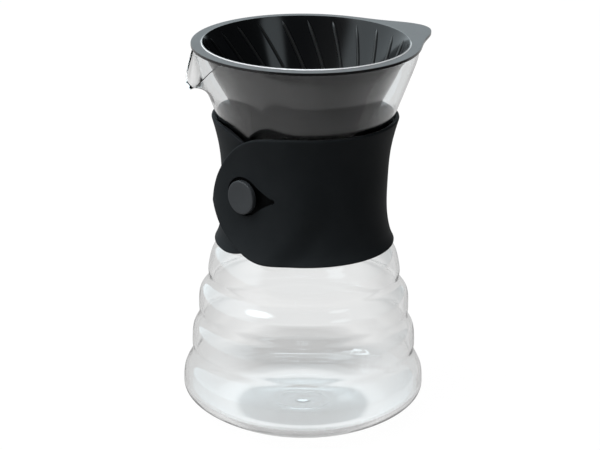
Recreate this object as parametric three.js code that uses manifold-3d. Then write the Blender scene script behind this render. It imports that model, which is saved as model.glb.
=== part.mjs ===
// Pour-over coffee maker: a rippled glass carafe with a pouring lip, a cone dripper with spiral ribs
// that rests on the carafe's rim, and a silicone band buttoned around the carafe's neck.
// Millimetres, +Z up, the table at z = 0, the carafe's axis on Z, the pouring lip towards -X.

import * as THREE from 'three';
import ManifoldModule from 'manifold-3d';

const solids = await ManifoldModule();
solids.setup();

// Shared sizes
const GAP = 0.3; // air left between two pieces that touch
const ROUND_STEPS = 48; // facets around the carafe
const CURVE_STEPS = 4; // straight runs between two points of the carafe's outline

// Carafe: the base, the rings above it, the neck and the funnel
const GLASS_WALL = 2;
const FOOT_RADIUS = 46;
const FOOT_WIDTH = 10; // flat ring that stands on the table
const PUNT_RISE = 2.5; // hollow of the base inside the foot ring
const PUNT_BEND = [0.6, 0.75]; // share of the hollow's radius, share of its rise
const BELLY_RADIUS = 65.5;
const BELLY_HEIGHT = 16.5;
const BASE_CURVE = [[0.42, 0.24], [1, 0.57]]; // share of the way out from foot to belly, share of its height
const RING_RADII = [60.8, 57.1, 52];
const FIRST_RING_HEIGHT = 40;
const RING_PITCH = 21;
const SHOULDER_INSET = 0.7; // a ring narrows this much over SHOULDER_RISE
const SHOULDER_RISE = 8;
const GROOVE_INSET = 0.1; // the groove under a ring is this much narrower than its crest
const GROOVE_DROP = 6.5;
const NECK_RADIUS = 41.5;
const NECK_OUTLINE = [ // share of the flare from neck to rim, share of the way up from the last ring
  [0.47, 0.073],
  [0.276, 0.121],
  [0.105, 0.178],
  [0, 0.275],
  [0.006, 0.404],
  [0.083, 0.549],
  [0.309, 0.687],
  [0.674, 0.832],
  [0.972, 0.953],
];
const RIM_RADIUS = 59.6;
const RIM_HEIGHT = 205.8;
const RIM_ROUND = 0.5;

// Pouring lip
const LIP_REACH = 66.6; // from the axis to the tip
const LIP_DROP = 18; // the rim dips this far at the tip
const LIP_START_SHARE = 0.767; // of the way up from the last ring, where the wall begins to lean out
const LIP_HALF_ANGLE = 24;

// Dripper
const FLANGE_OVERHANG = 1.4; // beyond the carafe's rim
const FLANGE_THICKNESS = 1.9;
const FLANGE_ROUND = 0.5;
const MOUTH_INSET = 5; // from the carafe's rim to the bowl's mouth
const CONE_HALF_ANGLE = 28;
const CONE_WALL = 2.2;
const OUTLET_RADIUS = 9.5;
const OUTLET_LENGTH = 2;
const DRIPPER_STEPS = 72;
const TAB_ANGLE = 7.5; // direction of the thumb tab
const TAB_LENGTH = 13.5; // from the flange's edge to the tab's tip
const TAB_SPREAD_ANGLE = 17; // over which the tab falls back towards the flange

// Spiral ribs inside the dripper
const RIB_COUNT = 24;
const RIB_FIRST_ANGLE = 8.2;
const RIB_HEIGHT = 1.2;
const RIB_WIDTH = 1.5;
const RIB_CREST_WIDTH = 0.9;
const RIB_ROOT = 1; // depth of the rib's foot inside the wall
const RIB_TOP_INSET = 1.2; // from the bowl's mouth to the ribs' upper ends
const LONG_RIB_END = 12;
const SHORT_RIB_END = 28;
const RIB_TWIST_ANGLE = 47.3; // turn for each e-fold of radius
const RIB_STEPS = 9;

// Band
const BAND_LOW_SHARE = 0.129; // of the way up from the last ring to the rim
const BAND_HIGH_SHARE = 0.695;
const BAND_THICKNESS = 2.6;
const BAND_BEVEL = 0.7;
const BAND_ROWS = 13;
const BAND_STEP_ANGLE = 7.5; // between two sections
const LAYER = BAND_THICKNESS + GAP; // how far the flap stands over the end beneath it

// Where things are around the neck, in degrees from +X; the flap points towards smaller angles
const BUTTON_ANGLE = 207;
const TAPER_START_ANGLE = 22; // each end of the band begins to narrow this far before the button
const TAPER_TIP_ANGLE = 30; // and ends this far past it
const HINGE_ANGLE = 38; // the flap bends this far before the button
const LIFT_ANGLE = 25; // the band settles from the upper layer on to the glass over this angle
const FULL_TURN_ANGLE = 360;
const UPPER_END = [[0, 1], [0.53, 1], [0.915, 0.38], [1, 0.11]]; // share of the taper, share of the height
const LOWER_END = [[0, 1], [0.615, 1], [0.915, 0.31], [1, 0.11]];
const END_SINK = 8; // each tip lies this much below the button
const END_STEPS = 8;
const TIP_LIFT = 4.6; // the flap's tip springs this far off the layer beneath

// Button and its holes
const BUTTON_HEIGHT_SHARE = 0.412; // of the way up from the last ring to the rim
const HEAD_RADIUS = 9.1;
const HEAD_THICKNESS = 2.8;
const HEAD_ROUND = 0.7;
const HEAD_CLEARANCE = 0.4; // head over the flap's outer face
const SHANK_RADIUS = 4;
const ANCHOR_RADIUS = 7;
const ANCHOR_THICKNESS = 1;
const BUTTON_STEPS = 32;
const HOLE_CLEARANCE = 1.6; // round end of the flap's hole beyond the head
const HOLE_SHIFT = 0.4; // towards the flap's tip
const SLIT_REACH = 16.3; // from the button's middle to the narrow end of the hole
const SLIT_RADIUS = 2;

// Finishes
const GLASS = { color: 0xdfe6e6, roughness: 0.05 };
const DRIPPER_PLASTIC = { color: 0x17181a, roughness: 0.2 };
const SILICONE = { color: 0x1d1e20, roughness: 0.7 };
const BUTTON_PLASTIC = { color: 0x393d3f, roughness: 0.6 };

const radians = THREE.MathUtils.degToRad;
const smoothstep = THREE.MathUtils.smoothstep;
const lerp = THREE.MathUtils.lerp;

const LAST_RING_HEIGHT = FIRST_RING_HEIGHT + (RING_RADII.length - 1) * RING_PITCH;

// Height at a share of the way from the last ring up to the rim.
function neckHeight(share) {
  return lerp(LAST_RING_HEIGHT, RIM_HEIGHT, share);
}

// Point at a radius, an angle in radians and a height.
function polar(radius, angle, height) {
  return new THREE.Vector3(radius * Math.cos(angle), radius * Math.sin(angle), height);
}

// Skin over a row of closed loops. Each loop runs up its outer side and down its inner side, and the
// loops follow each other towards larger angles; the end loops are capped unless the row is a ring.
function sweep(loops, isRing) {
  const size = loops[0].length;
  const spans = isRing ? loops.length : loops.length - 1;
  const faces = [];
  for (let i = 0; i < spans; i++) {
    const here = i * size;
    const next = ((i + 1) % loops.length) * size;
    for (let j = 0; j < size; j++) {
      const k = (j + 1) % size;
      faces.push(here + j, next + j, next + k);
      faces.push(here + j, next + k, here + k);
    }
  }
  if (!isRing) {
    const last = (loops.length - 1) * size;
    for (let j = 0; j < size / 2 - 1; j++) {
      const far = size - 1 - j;
      faces.push(j, j + 1, far - 1);
      faces.push(j, far - 1, far);
      faces.push(last + j, last + far - 1, last + j + 1);
      faces.push(last + j, last + far, last + far - 1);
    }
  }
  const geometry = new THREE.BufferGeometry().setFromPoints(loops.flat());
  geometry.setIndex(faces);
  return geometry;
}

// Turned solid about Z from an outline of (radius, height) points.
function turned(outline, steps) {
  const geometry = new THREE.LatheGeometry(outline, steps);
  geometry.rotateX(Math.PI / 2);
  return geometry;
}

function toSolid(geometry) {
  const position = geometry.getAttribute('position');
  const corners = geometry.index
    ? Uint32Array.from(geometry.index.array)
    : Uint32Array.from({ length: position.count }, (_, i) => i);
  const mesh = new solids.Mesh({
    numProp: 3,
    vertProperties: Float32Array.from(position.array),
    triVerts: corners,
  });
  mesh.merge();
  return new solids.Manifold(mesh);
}

function toGeometry(solid) {
  const mesh = solid.getMesh();
  const geometry = new THREE.BufferGeometry();
  geometry.setAttribute('position', new THREE.BufferAttribute(mesh.vertProperties, 3));
  geometry.setIndex(new THREE.BufferAttribute(mesh.triVerts, 1));
  return geometry;
}

function named(name, geometry, finish) {
  const material = new THREE.MeshStandardMaterial({ ...finish, metalness: 0 });
  const flat = geometry.index ? geometry.toNonIndexed() : geometry;
  flat.computeVertexNormals();
  const mesh = new THREE.Mesh(flat, material);
  mesh.name = name;
  return mesh;
}

// Outer outline of the carafe from the foot to just under the rim.
function carafeOutline() {
  const belly = new THREE.Vector2(BELLY_RADIUS, BELLY_HEIGHT);
  const bends = BASE_CURVE.map(
    ([out, up]) => new THREE.Vector2(lerp(FOOT_RADIUS, BELLY_RADIUS, out), BELLY_HEIGHT * up),
  );
  const base = new THREE.CubicBezierCurve(new THREE.Vector2(FOOT_RADIUS, 0), ...bends, belly);
  const knots = [belly];
  let crest = belly;
  RING_RADII.forEach((radius, i) => {
    const height = FIRST_RING_HEIGHT + i * RING_PITCH;
    knots.push(new THREE.Vector2(crest.x - SHOULDER_INSET, crest.y + SHOULDER_RISE));
    knots.push(new THREE.Vector2(radius - GROOVE_INSET, height - GROOVE_DROP));
    crest = new THREE.Vector2(radius, height);
    knots.push(crest);
  });
  for (const [flare, share] of NECK_OUTLINE) {
    knots.push(new THREE.Vector2(lerp(NECK_RADIUS, RIM_RADIUS, flare), neckHeight(share)));
  }
  knots.push(new THREE.Vector2(RIM_RADIUS, RIM_HEIGHT - RIM_ROUND));
  const wall = new THREE.SplineCurve(knots);
  const runs = (knots.length - 1) * 2;
  return [...base.getPoints(CURVE_STEPS + 1).slice(0, -1), ...wall.getPoints(runs)];
}

// The same outline one wall thickness further in, from the rim down, with every second point.
function innerOutline(outer) {
  const inner = [];
  for (let i = outer.length - 1; i >= 0; i -= 2) {
    const before = outer[Math.max(i - 1, 0)];
    const after = outer[Math.min(i + 1, outer.length - 1)];
    const along = after.clone().sub(before).normalize();
    inner.push(new THREE.Vector2(outer[i].x - GLASS_WALL * along.y, outer[i].y + GLASS_WALL * along.x));
  }
  return inner;
}

const OUTLINE = carafeOutline();

// Outer radius of the glass at a height above the belly.
function glassRadius(height) {
  const i = OUTLINE.findIndex((point) => point.y >= height && point.y > BELLY_HEIGHT);
  const low = OUTLINE[i - 1];
  const high = OUTLINE[i];
  return lerp(low.x, high.x, (height - low.y) / (high.y - low.y));
}

// Leans the wall out and down around -X, most at the rim.
function pullLip(geometry) {
  const position = geometry.getAttribute('position');
  const start = neckHeight(LIP_START_SHARE);
  const point = new THREE.Vector3();
  for (let i = 0; i < position.count; i++) {
    point.fromBufferAttribute(position, i);
    const away = Math.abs(Math.atan2(point.y, -point.x)) / radians(LIP_HALF_ANGLE);
    const up = (point.z - start) / (RIM_HEIGHT - start);
    if (away >= 1 || up <= 0) continue;
    const pull = ((1 + Math.cos(Math.PI * away)) / 2) * up * up;
    const radius = Math.hypot(point.x, point.y);
    const stretch = (radius + pull * (LIP_REACH - RIM_RADIUS)) / radius;
    position.setXYZ(i, point.x * stretch, point.y * stretch, point.z - pull * LIP_DROP);
  }
}

function carafe() {
  const inside = innerOutline(OUTLINE);
  const outerTop = OUTLINE[OUTLINE.length - 1];
  const innerTop = inside[0];
  const hollowRadius = FOOT_RADIUS - FOOT_WIDTH;
  const outline = [
    new THREE.Vector2(0, PUNT_RISE),
    new THREE.Vector2(hollowRadius * PUNT_BEND[0], PUNT_RISE * PUNT_BEND[1]),
    new THREE.Vector2(hollowRadius, 0),
    ...OUTLINE,
    new THREE.Vector2(outerTop.x - RIM_ROUND, RIM_HEIGHT),
    new THREE.Vector2(innerTop.x + RIM_ROUND, RIM_HEIGHT),
    ...inside,
    new THREE.Vector2(0, PUNT_RISE + GLASS_WALL),
  ];
  const geometry = turned(outline, ROUND_STEPS);
  pullLip(geometry);
  return named('carafe', geometry, GLASS);
}

const FLANGE_RADIUS = RIM_RADIUS + FLANGE_OVERHANG;
const MOUTH_RADIUS = RIM_RADIUS - MOUTH_INSET;
const SEAT = RIM_HEIGHT + GAP;
const FLANGE_TOP = SEAT + FLANGE_THICKNESS;
const CONE_SLOPE = Math.tan(radians(CONE_HALF_ANGLE));

// Height of the bowl's inner face at a radius.
function bowlHeight(radius) {
  return FLANGE_TOP - FLANGE_ROUND - (MOUTH_RADIUS - radius) / CONE_SLOPE;
}

// Outer radius of the flange, which swells into the thumb tab like a bell curve.
function flangeRadius(angle) {
  const turn = angle - radians(TAB_ANGLE);
  const away = Math.atan2(Math.sin(turn), Math.cos(turn)) / radians(TAB_SPREAD_ANGLE);
  return FLANGE_RADIUS + TAB_LENGTH * Math.exp(-away * away);
}

function dripperShell() {
  const outer = CONE_WALL / Math.cos(radians(CONE_HALF_ANGLE));
  const outletTop = bowlHeight(OUTLET_RADIUS);
  const tip = outletTop - OUTLET_LENGTH;
  const seatRadius = MOUTH_RADIUS - (FLANGE_TOP - FLANGE_ROUND - SEAT) * CONE_SLOPE + outer;
  const loops = [];
  for (let i = 0; i < DRIPPER_STEPS; i++) {
    const angle = (2 * Math.PI * i) / DRIPPER_STEPS;
    const edge = flangeRadius(angle);
    const outline = [
      [OUTLET_RADIUS + outer - OUTLET_LENGTH * CONE_SLOPE, tip],
      [seatRadius, SEAT],
      [edge - FLANGE_ROUND, SEAT],
      [edge, SEAT + FLANGE_ROUND],
      [edge, FLANGE_TOP - FLANGE_ROUND],
      [edge - FLANGE_ROUND, FLANGE_TOP],
      [MOUTH_RADIUS + FLANGE_ROUND, FLANGE_TOP],
      [MOUTH_RADIUS, FLANGE_TOP - FLANGE_ROUND],
      [OUTLET_RADIUS, outletTop],
      [OUTLET_RADIUS, tip],
    ];
    loops.push(outline.map(([radius, height]) => polar(radius, angle, height)));
  }
  return sweep(loops, true);
}

const RIB_TOP_RADIUS = MOUTH_RADIUS - RIB_TOP_INSET;

// One spiral rib: it turns clockwise, seen from above, as it runs down the bowl. Its sections stand closer
// towards its ends, which sink into the wall.
function rib(startAngle, endRadius) {
  const half = radians(CONE_HALF_ANGLE);
  const centres = [];
  const angles = [];
  for (let i = 0; i <= RIB_STEPS; i++) {
    const share = (1 - Math.cos((Math.PI * i) / RIB_STEPS)) / 2;
    const radius = RIB_TOP_RADIUS * Math.pow(endRadius / RIB_TOP_RADIUS, share);
    const angle = startAngle - radians(RIB_TWIST_ANGLE) * Math.log(RIB_TOP_RADIUS / radius);
    centres.push(polar(radius, angle, bowlHeight(radius)));
    angles.push(angle);
  }
  const loops = centres.map((centre, i) => {
    const before = centres[Math.max(i - 1, 0)];
    const after = centres[Math.min(i + 1, RIB_STEPS)];
    const along = after.clone().sub(before).normalize();
    const out = polar(-Math.cos(half), angles[i], Math.sin(half));
    const side = out.clone().cross(along).normalize();
    const isEnd = i === 0 || i === RIB_STEPS;
    const height = isEnd ? -RIB_ROOT / 2 : RIB_HEIGHT;
    const corner = (up, across) => centre.clone().addScaledVector(out, up).addScaledVector(side, across);
    return [
      corner(height, -RIB_CREST_WIDTH / 2),
      corner(height, RIB_CREST_WIDTH / 2),
      corner(-RIB_ROOT, RIB_WIDTH / 2),
      corner(-RIB_ROOT, -RIB_WIDTH / 2),
    ];
  });
  return sweep(loops, false);
}

function dripper() {
  const pieces = [dripperShell()];
  for (let i = 0; i < RIB_COUNT; i++) {
    const end = i % 2 === 0 ? LONG_RIB_END : SHORT_RIB_END;
    pieces.push(rib(radians(RIB_FIRST_ANGLE + (FULL_TURN_ANGLE * i) / RIB_COUNT), end));
  }
  const whole = solids.Manifold.union(pieces.map(toSolid));
  return named('dripper', toGeometry(whole), DRIPPER_PLASTIC);
}

const BAND_LOW = neckHeight(BAND_LOW_SHARE);
const BAND_HIGH = neckHeight(BAND_HIGH_SHARE);
const BUTTON_HEIGHT = neckHeight(BUTTON_HEIGHT_SHARE);
const TAPER_ANGLE = TAPER_START_ANGLE + TAPER_TIP_ANGLE;

// Loop around the band's thickness at one angle: up the outer face, down the inner face.
function bandLoop(angleDegrees, lift, low, high) {
  const angle = radians(angleDegrees);
  const face = (from, to, offset) => {
    const points = [];
    for (let i = 0; i <= BAND_ROWS; i++) {
      const height = lerp(from, to, i / BAND_ROWS);
      points.push(polar(glassRadius(height) + GAP + lift + offset, angle, height));
    }
    return points;
  };
  const outer = face(low + BAND_BEVEL, high - BAND_BEVEL, BAND_THICKNESS);
  return [...outer, ...face(high, low, 0)];
}

// Share of the height that an end's edge still has at a share of the taper.
function endShare(controls, along) {
  const curve = new THREE.CubicBezierCurve(...controls.map(([x, y]) => new THREE.Vector2(x, y)));
  const points = curve.getPoints(END_STEPS * END_STEPS);
  const i = points.findIndex((point) => point.x >= along && point.x > 0);
  const before = points[i - 1];
  const after = points[i];
  return lerp(before.y, after.y, (along - before.x) / (after.x - before.x));
}

// Tapered end of the band: for each section, how far along the taper it is (0 to 1), and its two edges,
// which close in from the band's edges on the tip's height. The sections stand closer towards the tip.
function endSections() {
  const tip = BUTTON_HEIGHT - END_SINK;
  const sections = [];
  for (let i = 0; i <= END_STEPS; i++) {
    const along = Math.sin((Math.PI / 2) * (i / END_STEPS));
    sections.push({
      along,
      low: lerp(tip, BAND_LOW, endShare(LOWER_END, along)),
      high: lerp(tip, BAND_HIGH, endShare(UPPER_END, along)),
    });
  }
  return sections;
}

// Frame of the button: x along the band towards larger angles, y up, z out from the neck's axis.
function buttonFrame() {
  const angle = radians(BUTTON_ANGLE);
  const frame = new THREE.Matrix4();
  const along = new THREE.Vector3(-Math.sin(angle), Math.cos(angle), 0);
  frame.makeBasis(along, new THREE.Vector3(0, 0, 1), polar(1, angle, 0));
  frame.setPosition(0, 0, BUTTON_HEIGHT);
  return frame;
}

const BUTTON_SEAT = glassRadius(BUTTON_HEIGHT) + GAP;
const FLAP_FACE = BUTTON_SEAT + LAYER + BAND_THICKNESS;

// Seat for the button in the band's inner end: a pocket for its anchor and a hole for its shank.
function buttonSeat() {
  const pocketTop = BUTTON_SEAT + ANCHOR_THICKNESS + GAP;
  const outline = [
    new THREE.Vector2(0, BUTTON_SEAT - BAND_THICKNESS),
    new THREE.Vector2(ANCHOR_RADIUS + GAP, BUTTON_SEAT - BAND_THICKNESS),
    new THREE.Vector2(ANCHOR_RADIUS + GAP, pocketTop),
    new THREE.Vector2(SHANK_RADIUS + GAP, pocketTop),
    new THREE.Vector2(SHANK_RADIUS + GAP, FLAP_FACE),
    new THREE.Vector2(0, FLAP_FACE),
  ];
  return turned(outline, BUTTON_STEPS).applyMatrix4(buttonFrame());
}

// Cuff: from the bend beside the flap around the glass to the inner end that carries the button.
function bandCuff() {
  const hinge = BUTTON_ANGLE + HINGE_ANGLE;
  const taperStart = BUTTON_ANGLE - TAPER_START_ANGLE + FULL_TURN_ANGLE;
  const count = Math.ceil((taperStart - hinge) / BAND_STEP_ANGLE);
  const loops = [];
  for (let i = 0; i < count; i++) {
    const angle = lerp(hinge, taperStart, i / count);
    const lift = LAYER * (1 - smoothstep(angle, hinge, hinge + LIFT_ANGLE));
    loops.push(bandLoop(angle, lift, BAND_LOW, BAND_HIGH));
  }
  for (const { along, low, high } of endSections()) {
    loops.push(bandLoop(taperStart + along * TAPER_ANGLE, 0, low, high));
  }
  const whole = toSolid(sweep(loops, false)).subtract(toSolid(buttonSeat()));
  return named('band_cuff', toGeometry(whole), SILICONE);
}

// Keyhole through the flap: round where the button's head passes, narrowing towards the bend.
function flapHole() {
  const radius = HEAD_RADIUS + HOLE_CLEARANCE;
  const slit = SLIT_REACH - SLIT_RADIUS;
  const spread = Math.acos((radius - SLIT_RADIUS) / (slit + HOLE_SHIFT));
  const outline = new THREE.Shape();
  outline.absarc(-HOLE_SHIFT, 0, radius, spread, 2 * Math.PI - spread, false);
  outline.absarc(slit, 0, SLIT_RADIUS, -spread, spread, false);
  const depth = 2 * LAYER + BAND_THICKNESS;
  const geometry = new THREE.ExtrudeGeometry(outline, { depth, bevelEnabled: false, curveSegments: 16 });
  geometry.translate(0, 0, FLAP_FACE - depth + LAYER);
  return geometry.applyMatrix4(buttonFrame());
}

// Flap: from its tapered tip past the button to the bend.
function bandFlap() {
  const taperStart = BUTTON_ANGLE + TAPER_START_ANGLE;
  const slack = THREE.MathUtils.radToDeg(GAP / NECK_RADIUS);
  const hinge = BUTTON_ANGLE + HINGE_ANGLE - slack;
  const loops = [];
  for (const { along, low, high } of endSections().reverse()) {
    const lift = LAYER + TIP_LIFT * smoothstep(along, TAPER_START_ANGLE / TAPER_ANGLE, 1);
    loops.push(bandLoop(taperStart - along * TAPER_ANGLE, lift, low, high));
  }
  const count = Math.ceil((hinge - taperStart) / BAND_STEP_ANGLE);
  for (let i = 1; i <= count; i++) {
    loops.push(bandLoop(lerp(taperStart, hinge, i / count), LAYER, BAND_LOW, BAND_HIGH));
  }
  const whole = toSolid(sweep(loops, false)).subtract(toSolid(flapHole()));
  return named('band_flap', toGeometry(whole), SILICONE);
}

// Button: an anchor under the inner end, a shank through it and the flap, and a flat round head.
function button() {
  const anchorTop = BUTTON_SEAT + ANCHOR_THICKNESS;
  const headLow = FLAP_FACE + HEAD_CLEARANCE;
  const headTop = headLow + HEAD_THICKNESS;
  const outline = [
    new THREE.Vector2(0, BUTTON_SEAT),
    new THREE.Vector2(ANCHOR_RADIUS, BUTTON_SEAT),
    new THREE.Vector2(ANCHOR_RADIUS, anchorTop),
    new THREE.Vector2(SHANK_RADIUS, anchorTop),
    new THREE.Vector2(SHANK_RADIUS, headLow),
    new THREE.Vector2(HEAD_RADIUS, headLow),
    new THREE.Vector2(HEAD_RADIUS, headTop - HEAD_ROUND),
    new THREE.Vector2(HEAD_RADIUS - HEAD_ROUND, headTop),
    new THREE.Vector2(0, headTop),
  ];
  const geometry = turned(outline, BUTTON_STEPS).applyMatrix4(buttonFrame());
  return named('band_button', geometry, BUTTON_PLASTIC);
}

const coffeeMaker = new THREE.Group();
coffeeMaker.name = 'pour_over_coffee_maker';
coffeeMaker.add(carafe(), dripper(), bandCuff(), bandFlap(), button());

export default coffeeMaker;
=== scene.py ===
# Pour-over coffee maker: a rippled glass carafe with a pouring lip, a black cone dripper with spiral
# ribs on its rim, and a silicone band that is buttoned around its neck. Sizes are in millimetres until
# a mesh or a pattern is made.

import math
from bisect import bisect_left

import bpy
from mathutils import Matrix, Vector


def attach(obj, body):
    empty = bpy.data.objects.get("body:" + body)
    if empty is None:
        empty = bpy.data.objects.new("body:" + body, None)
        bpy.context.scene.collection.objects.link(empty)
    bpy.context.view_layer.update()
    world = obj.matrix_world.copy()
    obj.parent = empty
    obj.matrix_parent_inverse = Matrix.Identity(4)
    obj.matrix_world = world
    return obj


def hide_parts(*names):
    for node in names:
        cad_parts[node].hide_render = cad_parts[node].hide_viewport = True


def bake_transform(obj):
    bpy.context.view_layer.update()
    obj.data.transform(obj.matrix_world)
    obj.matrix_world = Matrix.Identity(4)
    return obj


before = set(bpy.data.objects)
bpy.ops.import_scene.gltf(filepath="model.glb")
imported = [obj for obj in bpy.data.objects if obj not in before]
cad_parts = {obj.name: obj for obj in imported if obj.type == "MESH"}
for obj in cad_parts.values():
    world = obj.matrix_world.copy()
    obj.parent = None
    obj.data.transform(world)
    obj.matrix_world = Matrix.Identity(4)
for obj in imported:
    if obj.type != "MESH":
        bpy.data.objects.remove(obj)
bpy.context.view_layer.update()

MM = 0.001
FULL_TURN = 360
GAP = 0.3  # air between two pieces that touch
SHARP_ANGLE = 50  # edges that bend more than this stay sharp

# Carafe: the base, the rings above it, the neck and the funnel
GLASS_WALL = 2
RIM_WALL = 0.9
FOOT_RADIUS = 46
FOOT_WIDTH = 10
PUNT_RISE = 2.5
PUNT_FLAT_SHARE = 0.4  # this share of the hollow's radius is level, and the rest falls to the foot
MOULD_RING_RADIUS = 13.5  # soft moulded ring and nub under the base
MOULD_RING_WIDTH = 2.4
MOULD_RING_HEIGHT = 0.2
MOULD_NUB_WIDTH = 4
MOULD_NUB_HEIGHT = 0.5
BELLY_RADIUS = 65.5
BELLY_HEIGHT = 16.5
BASE_CURVE = ((0.42, 0.24), (1, 0.57))  # share of the way from foot to belly, share of the belly's height
RING_RADII = (60.8, 57.1, 52)
FIRST_RING_HEIGHT = 40
RING_PITCH = 21
SHOULDER_INSET = 0.7
SHOULDER_RISE = 8
GROOVE_INSET = 0.1
GROOVE_DROP = 6.5
NECK_RADIUS = 41.5
NECK_OUTLINE = (  # share of the flare from neck to rim, share of the way up from the last ring
    (0.47, 0.073),
    (0.276, 0.121),
    (0.105, 0.178),
    (0, 0.275),
    (0.006, 0.404),
    (0.083, 0.549),
    (0.309, 0.687),
    (0.674, 0.832),
    (0.972, 0.953),
)
RIM_RADIUS = 59.6
RIM_HEIGHT = 205.8
LIP_REACH = 66.3  # from the axis to the pouring lip's tip, at -X
LIP_DROP = 18
LIP_START_SHARE = 0.767
LIP_HALF_ANGLE = 24
FOOT_EASE = 8  # the foot ring's outer edge is rounded over this width
CARAFE_STEPS = 192
LIP_CROWDING = 0.65  # how much closer the columns stand at the lip
BASE_STEPS = 20
FOOT_STEPS = 4  # of the base's steps, replaced by the foot's rounding
UNDERSIDE_STEPS = 48
WALL_STEPS = 6  # between two knots of the wall
RIM_STEPS = 8
SEAM_MERGE = 0.002  # points closer than this become one, which closes the seam and the middle

# Dripper
SEAT_GAP = 0.1
FLANGE_RADIUS = 61
FLANGE_TOP = 208
BEAD_HEIGHT = 0.5  # fine bead around the bowl's mouth, on top of the flange
BEAD_WIDTH = 1.1
BEAD_SLOPE = 0.55
FLANGE_ROUND = 0.18
SEAT_ROUND = 0.2
BEAD_FOOT_ROUND = 0.05
BEAD_ROUND = 0.1
TIP_ROUND = 0.4
OUTLET_ROUND = 0.8
MOUTH_RADIUS = 54.6
MOUTH_HEIGHT = 207.5
CONE_HALF_ANGLE = 28
CONE_WALL = 2.2
OUTLET_RADIUS = 9.5
OUTLET_LENGTH = 2
TAB_ANGLE = 7.5
TAB_LENGTH = 13.4
TAB_SPREAD_ANGLE = 17
DRIPPER_STEPS = 180
LONGEST_RUN = 3  # longest straight run between two points of the dripper's outline

# Spiral ribs inside the dripper
RIB_COUNT = 24
RIB_FIRST_ANGLE = 8.4
RIB_TOP_RADIUS = 53.6
LONG_RIB_END = 12
SHORT_RIB_END = 28
RIB_TWIST = 0.826  # turn in radians for each e-fold of radius
RIB_BEAD_RADIUS = 0.9
RIB_END_POWER = 12  # the higher, the shorter a rib's rounded ends
RIB_END_SHARE = 0.02  # of the bead's radius, left at a rib's ends
RIB_STEPS = 40
RIB_SIDES = 10

# Band: heights are shares of the way up from the last ring to the rim
BAND_LOW_SHARE = 0.129
BAND_HIGH_SHARE = 0.695
BUTTON_HEIGHT_SHARE = 0.412
BAND_THICKNESS = 2.6
OUTER_ROUND = 1.0
INNER_ROUND = 0.5
LAYER = BAND_THICKNESS + GAP
BUTTON_ANGLE = 207
TAPER_START_ANGLE = 22
TAPER_TIP_ANGLE = 30
UPPER_END = ((0, 1), (0.53, 1), (0.915, 0.38), (1, 0))  # share of the taper, share of the height
LOWER_END = ((0, 1), (0.615, 1), (0.915, 0.31), (1, 0))
HINGE_ANGLE = 38
EDGE_HINGE_ANGLE = 11  # the flap's edges settle on to the glass sooner than its middle
LIFT_ANGLE = 25
SEAM_ANGLE = 163  # from the button round to where flap and cuff are joined, behind the neck
END_SINK = 8
TIP_LIFT = 4.6
TIP_SHARE = 0.9985  # an end stops here, just before its two edges meet
BEND_BEHIND_ANGLE = 12  # start of a bend behind the flap's hinge; its points are worked out but not used
BEND_BEFORE_ANGLE = 9  # to this far in front of it
BAND_STEP_ANGLE = 2.5
BAND_ROWS = 48
INNER_ROWS = 24
END_STEPS = 44
OUTLINE_STEPS = 160

# Button and its keyhole
HEAD_RADIUS = 9.1
HEAD_THICKNESS = 2.8
HEAD_CLEARANCE = 0.4
HEAD_ROUND = 0.9
HEAD_DISH = 0.25
DISH_EDGE_SHARE = 0.72  # of the head's radius
DISH_EDGE_DROP = 0.3  # of the dish's depth
DISH_FLOOR_SHARE = 0.4
DISH_ROUND = 1.2
HEAD_UNDER_ROUND = 0.4
SHANK_RADIUS = 4
SHANK_ROUND = 0.2
SHANK_ROOT = 0.6  # depth of the shank's foot in the inner end
BUTTON_STEPS = 72
HOLE_RADIUS = 10.7
HOLE_SHIFT = 0.4
SLIT_REACH = 18.2
SLIT_RADIUS = 1.5
SLIT_NECK = 1.45  # half width where the hole narrows into the slit
HOLE_OPEN_ANGLE = 50  # where the hole's round end gives way to its hollow sides
HOLE_SIDE_BEND = 4.5  # from the slit's line to the bend of the hollow sides
HOLE_STEPS = 40

# View: the photograph's camera
IMAGE_WIDTH = 600
CAMERA_ANGLE = 249
CAMERA_DISTANCE = 1296.45
CAMERA_HEIGHT = 553.13
AIM_HEIGHT = 104
FOCAL_PIXELS = 2535.63
AIM_PIXEL_SHIFT = (4.4, 2.4)  # right of and below the image's middle
CAMERA_ROLL = 0.54
SENSOR_WIDTH = 36

# Colours and roughness of the finishes
WHITE = (1, 1, 1, 1)
CLEAR_TINT = (0.98, 0.984, 0.983, 1)
SMEAR_TINT = (0.992, 0.994, 0.993, 1)
SMEAR_ROUGHNESS = 0.012
BOWL_BLACK = (0.0025, 0.0028, 0.0032, 1)
FLANGE_BLACK = (0.017, 0.0178, 0.019, 1)
BEAD_PAINTED_HIGHLIGHT = (0.5, 0.51, 0.52, 1)  # painted highlight: a pale line on the slope of the bead around the mouth
BOWL_ROUGHNESS = 0.1
RIB_ROUGHNESS = 0.26
FLANGE_ROUGHNESS = 0.33
GLOSS_FLOW = 0.07  # what flow marks add to the roughness, at most
SATIN_FLOW = 0.08
FINISH_EDGE = 0.1  # width over which one finish gives way to the next
SATIN_DEPTH = 0.02  # the satin finish reaches this far below the flange's top
SILICONE_BLACK = (0.0095, 0.0115, 0.013, 1)
SILICONE_DUST = (0.0115, 0.0135, 0.015, 1)
SILICONE_ROUGHNESS = 0.54
SILICONE_BLOOM = 0.1  # what the bloom of dust adds to the roughness, at most
PAINTED_SHADE_BLACK = (0.001, 0.0012, 0.0014, 1)  # painted shade under the flap, so that its keyhole looks dark
PAINTED_SHADE_RISE = (0.6, 1.6)  # this painted shade fades over these heights above the inner end's face
PAINTED_SHADE_REACH = (19, 24)  # and over these distances from the button's axis
PAINTED_SHADE_SIDE = (0, 10)  # on the button's side of the neck
BUTTON_GREY = (0.013, 0.0155, 0.018, 1)
BUTTON_DUST = (0.0165, 0.0195, 0.0225, 1)
BUTTON_ROUGHNESS = 0.48
BUTTON_BLOOM = 0.12
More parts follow.
